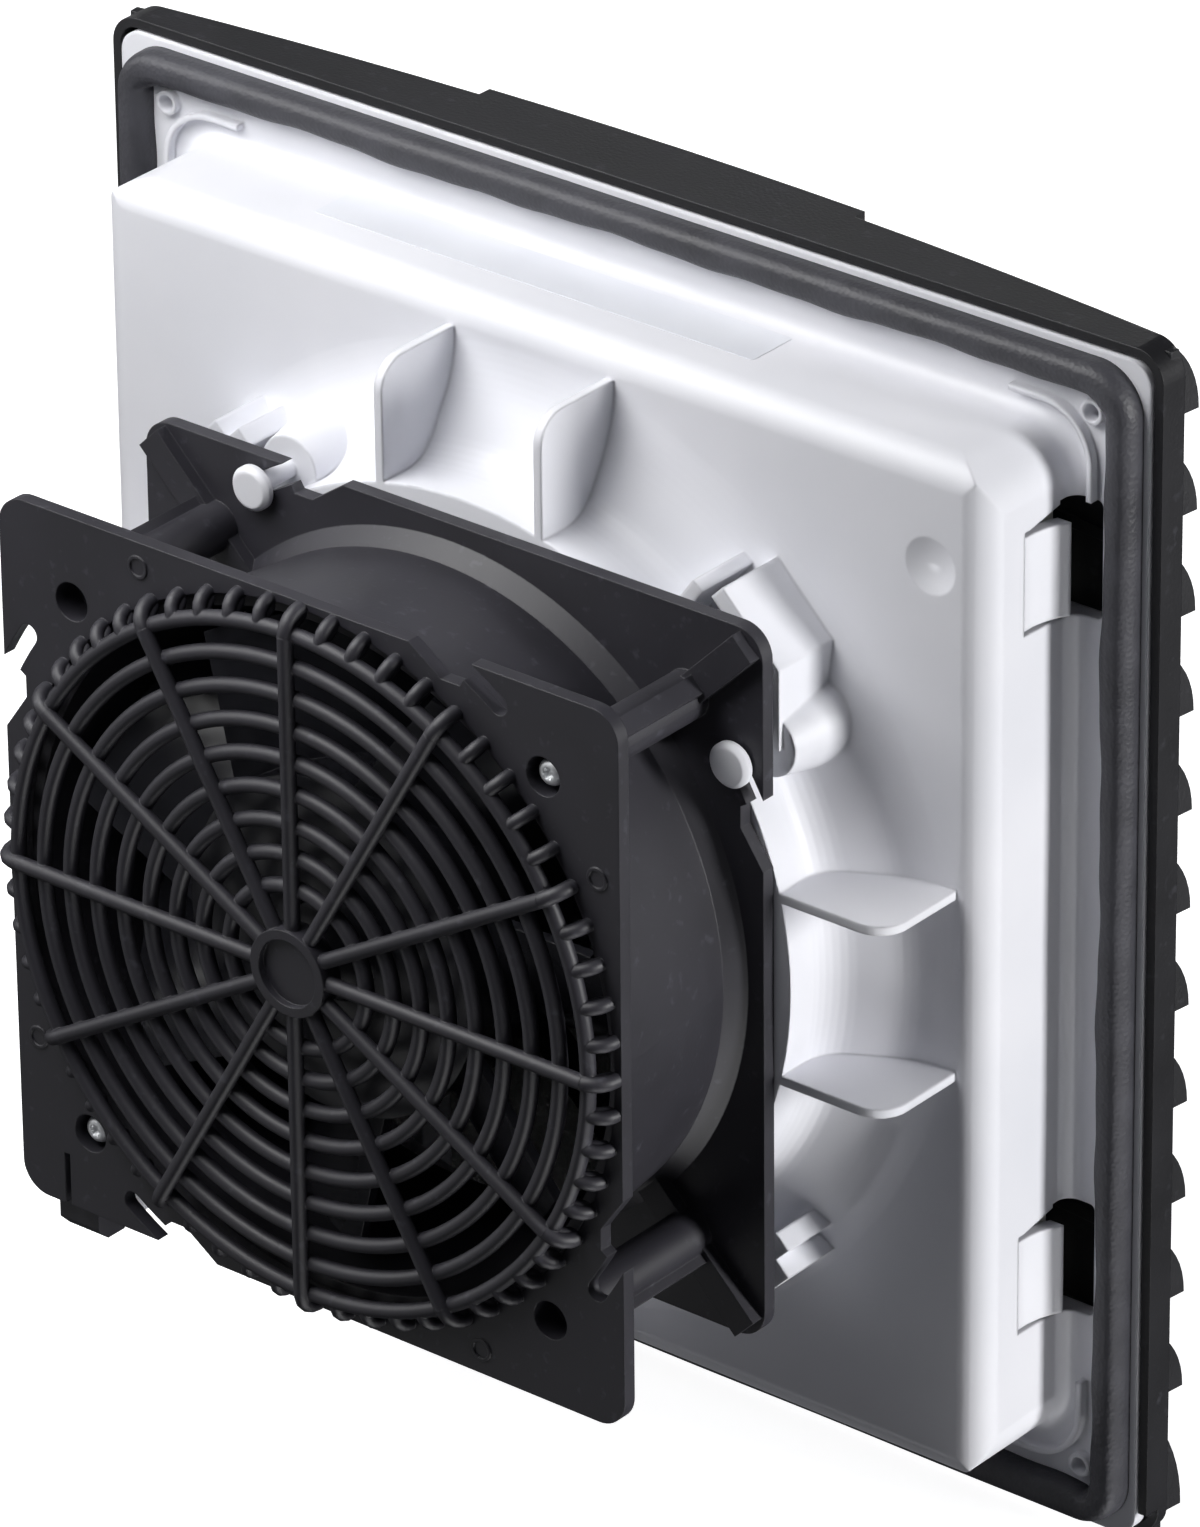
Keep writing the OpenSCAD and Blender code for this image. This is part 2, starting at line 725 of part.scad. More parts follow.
module louvre_grille() {
    ribs = floor(grille_w / 2 / rib_pitch);
    lobe_y = top_tip_y + slat_pitch;
    rib_low = hinge_y + knuckle_r + hinge_gap;
    color(black) in_place() {
        grille_rim();
        side_strips();
        hinge_lugs();
        for (i = [0 : slat_count - 1])
            translate([0, top_tip_y - i * slat_pitch, 0]) {
                slat(slat_h, slat_lap);
                along_bow(deep_angle, 2 * deep_angle) baffle_section(slat_h);
            }
        translate([0, lobe_y, 0]) slat(grille_w / 2 - lobe_y - rim_t, rim_t / 2);
        translate([0, bottom_tip_y, 0]) slat(last_tip_y - bottom_tip_y - slat_pitch + slat_h, slat_lap);
        for (i = [-ribs : ribs]) {
            x = i * rib_pitch;
            translate([x - slat_t / 2, rib_low, -bow_at(x)])
                cube([slat_t, grille_w / 2 - rim_t / 2 - rib_low, bow_at(x) + mat_side_z]);
        }
    }
}

// Bayonet

// Slot that a peg runs in, drawn on the right edge near the top of the inner plate
module bayonet_notch() {
    slot_r = stem_r + slot_gap;
    far = plate_w;
    mouth = peg_angle - twist;
    mouth_y = peg_circle_r * sin(mouth);
    translate([peg_x, peg_y()]) circle(slot_r);
    intersection() {
        difference() {
            circle(peg_circle_r + slot_r, $fn = 180);
            circle(peg_circle_r - slot_r, $fn = 180);
        }
        polygon([[0, 0], far * [cos(peg_angle), sin(peg_angle)], far * [cos(mouth), sin(mouth)]]);
    }
    polygon([
        [plate_w / 2 + through, mouth_y - 6.2], [opening_x, mouth_y + 1.4],
        [opening_x, mouth_y + 5], [plate_w / 2 - 1.5, mouth_y + 6.8], [plate_w / 2 + through, mouth_y + 6.8]
    ]);
}

module bayonet_plate() {
    difference() {
        round_square(plate_w, plate_r);
        four() bayonet_notch();
    }
}

module at_posts() {
    four() translate([post_pitch / 2, post_pitch / 2, 0]) children();
}

// Fan frame: inner plate, drum, posts and motor base in one moulding

module fan_frame() {
    color(black) in_place() {
        difference() {
            union() {
                translate([0, 0, plate_z]) linear_extrude(plate_t) bayonet_plate();
                translate([0, 0, drum_z - fuse])
                    cylinder(r1 = drum_r, r2 = drum_out_r, h = drum_l + fuse, $fn = 128);
                translate([0, 0, drum_z - fuse])
                    cylinder(r1 = bead_r, r2 = drum_r, h = bead_h + fuse, $fn = 128);
                posts();
            }
            drum_hollow();
            at_posts() translate([0, 0, drum_z]) cylinder(r = screw_hole_r - 0.3, h = fan_depth);
        }
        motor_base();
    }
}

// Air path of the drum, with a flared inlet
module drum_hollow() {
    lip = 2.2;
    translate([0, 0, plate_z - through]) cylinder(r = drum_bore_r, h = plate_t + 2 * through, $fn = 128);
    translate([0, 0, plate_z - fuse])
        cylinder(r1 = drum_bore_r + lip + fuse, r2 = drum_bore_r, h = lip + fuse, $fn = 128);
    translate([0, 0, drum_z])
        cylinder(r1 = drum_bore_r, r2 = outlet_r, h = drum_l, $fn = 128);
    translate([0, 0, drum_z + drum_l - fuse / 2]) cylinder(r = outlet_r, h = fuse, $fn = 128);
}

// Round posts, each with a key on its side and a raised rib out to the corner of the plate
module posts() {
    key_w = 3.2;
    key_out = 1.2;
    rib_w = 5;
    rib_h = 2.2;
    corner = plate_w / 2 * sqrt(2) - plate_r * (sqrt(2) - 1) - 1.2;
    centre = post_pitch / 2 * sqrt(2);
    at_posts() translate([0, 0, drum_z - fuse]) cylinder(r = post_r, h = post_top_z - drum_z + fuse);
    four() rotate([0, 0, 45]) {
        translate([drum_r, -rib_w / 2, drum_z - fuse]) cube([corner - drum_r, rib_w, rib_h + fuse]);
        translate([centre, -key_w / 2, drum_z - fuse])
            cube([post_r + key_out, key_w, (post_top_z - drum_z) * 0.8 + fuse]);
    }
}

// Round base for the motor on four struts
module motor_base() {
    translate([0, 0, base_z]) difference() {
        union() {
            cylinder(r = base_r, h = base_t);
            intersection() {
                four() rotate([0, 0, 45]) translate([0, -strut_w / 2, 0]) cube([drum_r, strut_w, base_t]);
                cylinder(r = drum_r - drum_wall / 2, h = base_t, $fn = 128);
            }
        }
        translate([0, 0, -through]) cylinder(r = tube_r, h = base_t + 2 * through);
    }
}

// Guard plate: outer plate with the finger guard moulded on

module guard_plate() {
    color(black) in_place() {
        difference() {
            union() {
                translate([0, 0, outer_z - plate_t]) linear_extrude(plate_t) mirror([1, 0]) bayonet_plate();
                at_posts() translate([0, 0, post_top_z])
                    cylinder(r = post_r + 0.6, h = outer_z - post_top_z - fuse);
                ejector_rings();
            }
            translate([0, 0, outer_z - plate_t - through])
                cylinder(r = opening_r, h = plate_t + 2 * through, $fn = 128);
            at_posts() translate([0, 0, outer_z - recess_d]) cylinder(r = recess_r, h = recess_d + through);
            at_posts() translate([0, 0, post_top_z - through])
                cylinder(r = screw_hole_r, h = recess_d + 2 * through);
            terminal_slot();
        }
        guard_rings();
        guard_spokes();
        guard_hub();
    }
}

module guard_rings() {
    for (i = [0 : ring_count - 1])
        translate([0, 0, ring_z]) rotate_extrude($fn = 128)
            translate([ring_r - i * ring_pitch, 0]) circle(bar_r, $fn = 24);
}

// A spoke runs over the rings and bends down to the plate; short teeth stand between spokes
module guard_spokes() {
    step = 360 / spoke_count;
    inner_r = guard_hub_r - 0.8;
    for (i = [0 : spoke_count - 1]) rotate([0, 0, i * step]) {
        translate([inner_r, 0, guard_z]) rotate([0, 90, 0])
            cylinder(r = bar_r, h = ring_r - inner_r, $fn = 24);
        tooth(guard_z);
        for (k = [1 : teeth_between]) rotate([0, 0, k * step / (teeth_between + 1)]) tooth(ring_z);
    }
}

// Short bar sloping from the outer ring down to the plate
module tooth(top) {
    run = tooth_end_r - ring_r;
    fall = top - outer_z + plate_t / 2;
    translate([ring_r, 0, top]) rotate([0, 180 - atan2(run, fall), 0])
        cylinder(r = bar_r * 0.8, h = sqrt(run * run + fall * fall), $fn = 24);
}

module guard_hub() {
    rim = 1.6;
    dish = 1.2;
    low = 2 * bar_r;
    proud = 0.35;
    translate([0, 0, guard_z - low]) difference() {
        cylinder(r = guard_hub_r, h = low + bar_r + proud);
        translate([0, 0, low + bar_r + proud - dish]) cylinder(r = guard_hub_r - rim, h = dish + through);
    }
}

// Small raised rings left by the ejector pins
module ejector_rings() {
    mark_r = 1.9;
    mark_h = 0.25;
    edge_inset = 4.2;
    side_inset = 27.9;
    four() translate([plate_w / 2 - edge_inset, plate_w / 2 - side_inset, outer_z - fuse]) difference() {
        cylinder(r = mark_r, h = mark_h + fuse);
        cylinder(r = mark_r - 0.5, h = mark_h + fuse + through);
    }
}

// Narrow slot that frees a tongue beside the terminal
module terminal_slot() {
    slot_w = 1.2;
    slot_l = 9;
    translate([-plate_w / 2 + 8.6, -plate_w / 2 - through, outer_z - plate_t - through])
        cube([slot_w, slot_l + through, plate_t + 2 * through]);
}

module guard_screws() {
    screw_l = 14;
    screw_head_r = 2.5;
    screw_head_h = 2;
    socket_r = 1.1;
    color(steel) in_place() for (turn = [0, 180]) rotate([0, 0, turn])
        translate([post_pitch / 2, post_pitch / 2, outer_z - recess_d]) difference() {
            union() {
                cylinder(r = screw_head_r, h = screw_head_h);
                translate([0, 0, -screw_l]) cylinder(r = screw_hole_r - 0.3 - run_gap, h = screw_l + fuse);
            }
            translate([0, 0, screw_head_h - 1]) cylinder(r = socket_r, h = 1 + through, $fn = 6);
        }
}

module terminal_cap() {
    cap_w = 8;
    cap_h = 8.6;
    left = terminal_x - cap_w / 2 - 0.6;
    low = terminal_y - cap_h / 2 + 0.6;
    color(black) in_place() translate([left, low, outer_z - plate_t - cap_d])
        difference() {
            cube([cap_w, cap_h, cap_d]);
            translate([0, 0, cap_d]) rotate([45, 0, 0]) cube([3 * cap_w, 3, 3], center = true);
        }
}

module terminal_body() {
    color("#d5d6da") in_place() translate([terminal_x, terminal_y, outer_z - plate_t - cap_d - terminal_l])
        cylinder(r = terminal_r, h = terminal_l);
}

// Motor

module bearing_tube() {
    color("#b08d4a") in_place() translate([0, 0, base_z]) difference() {
        cylinder(r = tube_r, h = tube_l);
        translate([0, 0, -through]) cylinder(r = bearing_r, h = tube_l + 2 * through);
    }
}

module bearing(z) {
    color(steel) in_place() translate([0, 0, z]) difference() {
        cylinder(r = bearing_r, h = bearing_w);
        translate([0, 0, -through]) cylinder(r = shaft_r + run_gap, h = bearing_w + 2 * through);
    }
}

module bearing_inlet() {
    bearing(base_z + 1.5);
}

module bearing_outlet() {
    bearing(base_z + tube_l - bearing_w);
}

// Laminated stack with four slots for the coils
module stator_core() {
    mouth_w = 2.5;
    color("#6f7075") in_place() translate([0, 0, stator_z]) difference() {
        cylinder(r = stator_r, h = stator_h);
        translate([0, 0, -through]) cylinder(r = tube_r, h = stator_h + 2 * through);
        four() rotate([0, 0, 45]) translate([coil_x, 0, -through]) {
            cylinder(r = coil_r, h = stator_h + 2 * through);
            translate([0, -mouth_w / 2, 0]) cube([stator_r, mouth_w, stator_h + 2 * through]);
        }
    }
}

// Copper in the four slots, standing out at both ends of the stack
module winding() {
    out = 2.5;
    color("#a8622e") in_place() four() rotate([0, 0, 45])
        translate([coil_x, 0, stator_z - out]) cylinder(r = coil_r - 0.1, h = stator_h + 2 * out);
}

// Impeller and rotor

// Blade: a curved sheet set at a pitch, from inside the hub to the gap at the drum
module blade() {
    camber_r = 46;
    start = can_r - 4;
    chord = blade_h / sin(blade_pitch);
    half = asin(chord / 2 / camber_r);
    sag = camber_r * cos(half);
    wedge = 2 * camber_r;
    intersection() {
        translate([start, 0, can_z + 1 + blade_h / 2]) rotate([90, 0, 90]) linear_extrude(impeller_r)
            rotate(blade_pitch) translate([0, -sag]) difference() {
                intersection() {
                    circle(camber_r, $fn = 180);
                    polygon([[0, 0], wedge * [-sin(half), cos(half)], wedge * [sin(half), cos(half)]]);
                }
                circle(camber_r - blade_t, $fn = 180);
            }
        translate([0, 0, can_z - blade_h]) cylinder(r = impeller_r, h = 3 * blade_h, $fn = 128);
    }
}

module impeller() {
    boss_r = 8;
    color("#3a3a40") in_place() difference() {
        union() {
            translate([0, 0, can_z]) cylinder(r = hub_r, h = hub_top_z - can_z);
            for (i = [0 : blade_count - 1]) rotate([0, 0, i * 360 / blade_count]) blade();
            translate([0, 0, hub_top_z - fuse]) cylinder(r1 = boss_r + 1, r2 = boss_r, h = 1 + fuse);
        }
        translate([0, 0, can_z - blade_h]) cylinder(r = can_r, h = can_top_z - can_z + blade_h);
    }
}

module rotor_can() {
    color(steel) in_place() difference() {
        translate([0, 0, can_z]) cylinder(r = can_r, h = can_top_z - can_z);
        translate([0, 0, can_z - through])
            cylinder(r = can_r - can_wall, h = can_top_z - can_z - can_wall + through);
        translate([0, 0, can_z]) cylinder(r = shaft_r, h = fan_depth);
    }
}

module rotor_cage() {
    air_gap = 0.4;
    color("#84868c") in_place() translate([0, 0, stator_z - 1]) difference() {
        cylinder(r = can_r - can_wall, h = stator_h + 2);
        translate([0, 0, -through]) cylinder(r = stator_r + air_gap, h = stator_h + 2 + 2 * through);
    }
}

module shaft() {
    color(steel) in_place() translate([0, 0, base_z + 0.5]) difference() {
        cylinder(r = shaft_r, h = can_top_z - base_z - 0.5);
        translate([0, 0, 0.4]) rotate_extrude() translate([shaft_r - 0.4, 0]) square([1, 0.5]);
    }
}

module retaining_clip() {
    clip_r = shaft_r + 1.6;
    color(steel) in_place() translate([0, 0, base_z + 0.9]) difference() {
        cylinder(r = clip_r, h = 0.5);
        translate([0, 0, -through]) cylinder(r = shaft_r - 0.4, h = 3 * through);
        translate([0, -0.6, -through]) cube([2 * clip_r, 1.2, 3 * through]);
    }
}

housing_frame();
gasket();
filter_mat();
hinge_pins();
snap_clip(0, 1);  // snap_clip_upper_right
snap_clip(0, -1);  // snap_clip_lower_right
snap_clip(1, 1);  // snap_clip_upper_left
snap_clip(1, -1);  // snap_clip_lower_left
louvre_grille();
fan_frame();
guard_plate();
guard_screws();
terminal_cap();
terminal_body();
bearing_tube();
bearing_inlet();
bearing_outlet();
stator_core();
winding();
impeller();
rotor_can();
rotor_cage();
shaft();
retaining_clip();
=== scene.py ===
# Cabinet filter fan, dressed for its portrait from the fan side.
# Lengths are in metres, in the frame of the part: +Y into the cabinet, +Z up.
import math

import bmesh
import bpy
from mathutils import Matrix, Vector


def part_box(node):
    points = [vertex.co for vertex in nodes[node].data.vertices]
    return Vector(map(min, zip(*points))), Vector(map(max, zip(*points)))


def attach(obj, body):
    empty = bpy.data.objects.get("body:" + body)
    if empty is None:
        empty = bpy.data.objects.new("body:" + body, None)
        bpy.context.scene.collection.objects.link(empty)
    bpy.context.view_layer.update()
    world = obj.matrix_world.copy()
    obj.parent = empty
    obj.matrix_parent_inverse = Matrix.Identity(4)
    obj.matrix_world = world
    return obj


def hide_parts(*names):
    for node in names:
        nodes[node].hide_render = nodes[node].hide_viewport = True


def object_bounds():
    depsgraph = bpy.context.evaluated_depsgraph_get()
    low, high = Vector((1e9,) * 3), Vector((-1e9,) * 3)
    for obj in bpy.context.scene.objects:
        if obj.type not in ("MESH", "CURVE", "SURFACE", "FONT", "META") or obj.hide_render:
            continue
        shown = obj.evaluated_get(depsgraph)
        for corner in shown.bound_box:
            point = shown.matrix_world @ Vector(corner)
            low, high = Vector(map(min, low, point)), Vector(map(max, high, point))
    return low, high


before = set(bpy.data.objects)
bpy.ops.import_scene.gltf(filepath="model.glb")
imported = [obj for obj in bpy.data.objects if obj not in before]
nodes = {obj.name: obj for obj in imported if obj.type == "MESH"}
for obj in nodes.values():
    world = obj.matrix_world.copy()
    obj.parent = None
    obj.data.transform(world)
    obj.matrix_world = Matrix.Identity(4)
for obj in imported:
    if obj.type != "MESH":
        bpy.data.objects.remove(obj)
solid_box = [list(map(float, corner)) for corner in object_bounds()]
scene = bpy.context.scene

MM = 0.001


# Camera

def as_frame(right, up, deep):
    """A place or direction seen from the fan side: to the right, up and into the cabinet."""
    return Vector((-right, deep, up))


def set_camera():
    """Stands the camera where the corners of the plates, box and flange fall as in the photograph."""
    turn, rise, roll = (math.radians(angle) for angle in (39.46, 27.56, -0.63))
    distance, shift_right, shift_up = 1.715, 0.0038, -0.0023
    focal_px, height_px, film_mm = 11068, 1527, 36
    nearest, farthest = 0.05, 50
    back = as_frame(math.sin(turn) * math.cos(rise), math.sin(rise), math.cos(turn) * math.cos(rise))
    right = as_frame(math.cos(turn), 0, -math.sin(turn))
    up = back.cross(right)
    across = math.cos(roll) * right + math.sin(roll) * up
    upward = -math.sin(roll) * right + math.cos(roll) * up
    lens = bpy.data.cameras.new("portrait_camera")
    lens.sensor_fit, lens.sensor_height, lens.lens = "VERTICAL", film_mm, focal_px * film_mm / height_px
    lens.clip_start, lens.clip_end = nearest, farthest
    camera = bpy.data.objects.new("portrait_camera", lens)
    camera.matrix_world = Matrix((across, upward, back)).transposed().to_4x4()
    camera.location = distance * back - shift_right * right - shift_up * up
    scene.collection.objects.link(camera)
    scene.camera = camera


set_camera()


# Materials

def srgb(code):
    """Linear RGBA of an sRGB hex colour."""
    parts = [int(code[i:i + 2], 16) / 255 for i in (1, 3, 5)]
    return [p / 12.92 if p <= 0.04045 else ((p + 0.055) / 1.055) ** 2.4 for p in parts] + [1.0]


def connect(tree, socket, value):
    """Feeds a socket from a node's first output or from another socket, or sets its value."""
    if isinstance(value, bpy.types.Node):
        value = value.outputs[0]
    if isinstance(value, bpy.types.NodeSocket):
        tree.links.new(value, socket)
    else:
        socket.default_value = value


def node(tree, kind, settings=None, **inputs):
    """Adds a node; settings are its properties, or the stops of a ramp, and inputs its sockets by name."""
    made = tree.nodes.new("ShaderNode" + kind)
    for key, value in (settings or {}).items():
        if key == "stops":
            for element, (spot, colour) in zip(made.color_ramp.elements, value):
                element.color, element.position = srgb(colour), spot
        else:
            setattr(made, key, value)
    paint(tree, made, **inputs)
    return made


def paint(tree, shader, **inputs):
    """Sets a shader's sockets by name."""
    for name, value in inputs.items():
        connect(tree, shader.inputs[name.replace("_", " ")], value)


def material(name):
    """A new material with its node tree, its shader and the place on the part that its patterns follow."""
    made = bpy.data.materials.new(name)
    made.use_nodes = True
    tree = made.node_tree
    tree.nodes.clear()
    shader = node(tree, "BsdfPrincipled")
    node(tree, "OutputMaterial", Surface=shader)
    place = node(tree, "TexCoord").outputs["Object"]
    return made, tree, shader, place


def repeat(size_mm):
    """Scale of a pattern whose marks are this far apart."""
    return 1 / (size_mm * MM)


def relief(tree, shader, height, depth_mm, strength, edge_mm=None):
    """Raises a pattern on the surface; edge_mm rounds each sharp edge, as a mould's small radius does."""
    bump = node(tree, "Bump", Strength=strength, Distance=depth_mm * MM, Height=height)
    if edge_mm:
        paint(tree, bump, Normal=node(tree, "Bevel", {"samples": 4}, Radius=edge_mm * MM))
    paint(tree, shader, Normal=bump)


def light_abs():
    """Light grey ABS, moulded in a spark-eroded tool: a soft satin, a fine grain and faint flow clouds.
    The real grit is about 0.1 mm wide and is drawn coarser, so that it shows."""
    made, tree, shader, place = material("light_grey_abs_moulded")
    clouds = node(tree, "TexNoise", Vector=place, Scale=repeat(45), Detail=3.0)
    grit = node(tree, "TexNoise", Vector=place, Scale=repeat(0.6), Detail=2.0)
    tone = node(tree, "ValToRGB", {"stops": ((0.3, "#dfe0e6"), (0.7, "#e9e9ee"))}, Fac=clouds)
    gloss = node(tree, "MapRange", Value=clouds, To_Min=0.40, To_Max=0.52)
    paint(tree, shader, Base_Color=tone, Roughness=gloss, IOR=1.53)
    relief(tree, shader, grit, depth_mm=0.05, strength=0.12, edge_mm=0.8)
    return made


def moulded_plastic(name, dark, pale, rough, grit_mm, grit_strength, scuffed=None):
    """Moulded plastic with a grained satin; handling leaves small scuffs a little paler.
    The real grit is about 0.1 mm wide and is drawn coarser, so that it shows."""
    made, tree, shader, place = material(name)
    clouds = node(tree, "TexNoise", Vector=place, Scale=repeat(16), Detail=4.0)
    grit = node(tree, "TexNoise", Vector=place, Scale=repeat(grit_mm), Detail=2.0)
    tone = node(tree, "ValToRGB", {"stops": ((0.3, dark), (0.7, pale))}, Fac=clouds)
    if scuffed:
        rubbed = node(tree, "TexNoise", Vector=place, Scale=repeat(2.2), Detail=5.0)
        share = node(tree, "MapRange", Value=rubbed, From_Min=0.62, From_Max=0.74, To_Max=0.5)
        tone = node(tree, "MixRGB", Fac=share, Color1=tone, Color2=srgb(scuffed))
    gloss = node(tree, "MapRange", Value=clouds, To_Min=rough[0], To_Max=rough[1])
    paint(tree, shader, Base_Color=tone, Roughness=gloss, IOR=1.53)
    relief(tree, shader, grit, depth_mm=0.06, strength=grit_strength, edge_mm=0.3)
    return made


def poured_foam():
    """Polyurethane foam, poured as a bead: a dull closed skin with fine pores."""
    made, tree, shader, place = material("poured_polyurethane_foam")
    pores = node(tree, "TexVoronoi", Vector=place, Scale=repeat(0.7))
    clouds = node(tree, "TexNoise", Vector=place, Scale=repeat(9), Detail=3.0)
    tone = node(tree, "ValToRGB", {"stops": ((0.3, "#333338"), (0.7, "#434349"))}, Fac=clouds)
    gloss = node(tree, "MapRange", Value=clouds, To_Min=0.46, To_Max=0.62)
    paint(tree, shader, Base_Color=tone, Roughness=gloss)
    relief(tree, shader, pores, depth_mm=0.15, strength=0.5, edge_mm=0.4)
    return made


def fibre_mat():
    """Polyester fibres, thermally bonded into a mat: matt, with a tangle of short threads."""
    made, tree, shader, place = material("bonded_polyester_fibre")
    threads = node(tree, "TexNoise", Vector=place, Scale=repeat(1.6), Detail=6.0, Distortion=2.5)
    tone = node(tree, "ValToRGB", {"stops": ((0.0, "#b9b9b4"), (1.0, "#f1f1ec"))}, Fac=threads)
    paint(tree, shader, Base_Color=tone, Roughness=0.95)
    relief(tree, shader, threads, depth_mm=0.6, strength=0.8)
    return made


def metal(name, colour, rough, streak_mm):
    """Turned, plated or drawn metal: fine streaks vary its gloss."""
    made, tree, shader, place = material(name)
    streaks = node(tree, "TexNoise", Vector=place, Scale=repeat(streak_mm), Detail=3.0)
    gloss = node(tree, "MapRange", Value=streaks, To_Min=rough * 0.7, To_Max=rough * 1.4)
    paint(tree, shader, Base_Color=srgb(colour), Metallic=1.0, Roughness=gloss)
    return made


def coated_film():
    """Polyester film, coated white: a little smoother and cooler than the moulding under it."""
    made, tree, shader, place = material("coated_polyester_film")
    clouds = node(tree, "TexNoise", Vector=place, Scale=repeat(20), Detail=2.0)
    tone = node(tree, "ValToRGB", {"stops": ((0.3, "#dcdee5"), (0.7, "#e3e5eb"))}, Fac=clouds)
    gloss = node(tree, "MapRange", Value=clouds, To_Min=0.28, To_Max=0.36)
    paint(tree, shader, Base_Color=tone, Roughness=gloss, IOR=1.6)
    return made


base_abs = light_abs()
grille_abs = moulded_plastic("black_abs_moulded_grille", "#151518", "#1c1c20", rough=(0.42, 0.58),
                             grit_mm=0.6, grit_strength=0.7, scuffed="#3c3c42")
fan_polyamide = moulded_plastic("black_glass_filled_polyamide", "#25242a", "#2d2c33", rough=(0.46, 0.58),
                                grit_mm=0.6, grit_strength=0.3, scuffed="#4a4a52")
blade_polyamide = moulded_plastic("black_polyamide_blades", "#303036", "#3a3a41", rough=(0.2, 0.3),
                                  grit_mm=0.8, grit_strength=0.1)
terminal_polyamide = moulded_plastic("light_grey_polyamide", "#cfd0d5", "#dcdde2", rough=(0.4, 0.5),
                                     grit_mm=0.5, grit_strength=0.1)
foam = poured_foam()
fibre = fibre_mat()
film = coated_film()
zinc = metal("bright_zinc_plated_steel", "#d3d5da", rough=0.22, streak_mm=0.8)
screw_zinc = metal("dull_zinc_plated_steel", "#eceef0", rough=0.5, streak_mm=0.6)
brass = metal("turned_brass", "#b5924c", rough=0.3, streak_mm=0.6)
steel = metal("laminated_steel", "#8d9098", rough=0.38, streak_mm=0.7)
copper = metal("enamelled_copper_wire", "#b8703c", rough=0.35, streak_mm=0.5)

FINISHES = (
    (base_abs, ("housing_frame", "snap_clip_upper_right", "snap_clip_lower_right",
                "snap_clip_upper_left", "snap_clip_lower_left")),
    (grille_abs, ("louvre_grille",)),
    (fan_polyamide, ("fan_frame", "guard_plate", "terminal_cap")),
    (blade_polyamide, ("impeller",)),
    (terminal_polyamide, ("terminal_body",)),
    (foam, ("gasket",)),
    (fibre, ("filter_mat",)),
    (zinc, ("hinge_pins", "guard_screws", "bearing_inlet", "bearing_outlet", "shaft", "retaining_clip")),
    (brass, ("bearing_tube",)),
    (steel, ("stator_core", "rotor_can", "rotor_cage")),
    (copper, ("winding",)),
)
for finish, names in FINISHES:
    for name in names:
        nodes[name].data.materials.clear()
        nodes[name].data.materials.append(finish)


# Pieces that the solids show plainly

def closed_shape(name, points, faces):
    """An object with a closed mesh whose faces all look outward."""
    mesh = bpy.data.meshes.new(name)
    mesh.from_pydata(points, [], faces)
    shape = bmesh.new()
    shape.from_mesh(mesh)
    bmesh.ops.recalc_face_normals(shape, faces=shape.faces)
    shape.to_mesh(mesh)
    shape.free()
    made = bpy.data.objects.new(name, mesh)
    scene.collection.objects.link(made)
    return made


def dress(piece, finish, body, stands_for=None, smooth=True):
    """Gives a piece its finish and the body it rides on, and hides the node that it stands for."""
    piece.data.materials.clear()
    piece.data.materials.append(finish)
    for face in piece.data.polygons:
        face.use_smooth, face.material_index = smooth, 0
    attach(piece, body)
    if stands_for:
        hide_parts(stands_for)


def skin(rows, around, joined=False):
    """Faces between closed rows of equally many points; joined, the last row meets the first again."""
    faces = []
    for row in range(rows if joined else rows - 1):
        here, there = row * around, (row + 1) % rows * around
        for k in range(around):
            beside = (k + 1) % around
            faces.append((here + k, here + beside, there + beside, there + k))
    return faces


def circle(around, radius, level, x=0.0, z=0.0, six_lobed=False):
    """Points round an axis along Y; a six-lobed circle swings in and out, as the drive of a screw does."""
    points = []
    for k in range(around):
        angle = 2 * math.pi * k / around
        reach = radius * (0.88 + 0.14 * math.cos(6 * angle)) if six_lobed else radius
        points.append((x + reach * math.cos(angle), level, z + reach * math.sin(angle)))
    return points


def rounded_path(half, corner_r, step):
    """Points of a rounded square, each with its outward direction, at about even steps."""
    straight, arc_steps = 2 * (half - corner_r), 14
    side_steps = round(straight / step)
    path = []
    for side in range(4):
        turn = Matrix.Rotation(math.radians(90 * side), 2)
        for k in range(side_steps):
            spot = Vector((half, -straight / 2 + straight * k / side_steps))
            path.append((turn @ spot, turn @ Vector((1, 0))))
        for k in range(arc_steps):
            angle = math.radians(90) * k / arc_steps
            out = Vector((math.cos(angle), math.sin(angle)))
            path.append((turn @ (Vector((straight / 2, straight / 2)) + corner_r * out), turn @ out))
    return path


def foam_bead():
    """The gasket: foam poured round the flange, crowned, its inner edge wavering as the bead flowed."""
    low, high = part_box("gasket")
    width, corner_r, step = 5 * MM, 5.5 * MM, 2 * MM
    across, fullness, spread_in = 14, 3.0, 0.5 * MM
    waves = ((13, 0.30, 0.4), (29, 0.22, 1.9), (67, 0.12, 4.1))
    swells, swell_size = 17, 0.02
    height = high[1] - low[1]
    path = rounded_path(high[0] - width / 2, corner_r, step)
    points = []
    for k, (place, out) in enumerate(path):
        share = 2 * math.pi * k / len(path)
        waver = sum(size * math.sin(count * share + start) for count, size, start in waves) * MM
        swell = 1 + swell_size * math.sin(swells * share)
        for j in range(across + 1):
            t = math.cos(math.pi * j / across)
            rise = height * swell * (1 - abs(t) ** fullness) ** (1 / fullness)
            spot = place + (t * width / 2 + min(t, 0) * (waver + spread_in)) * out
            points.append((spot.x, low[1] + rise, spot.y))
    bead = closed_shape("gasket_bead", points, skin(len(path), across + 1, joined=True))
    dress(bead, foam, "housing", "gasket")


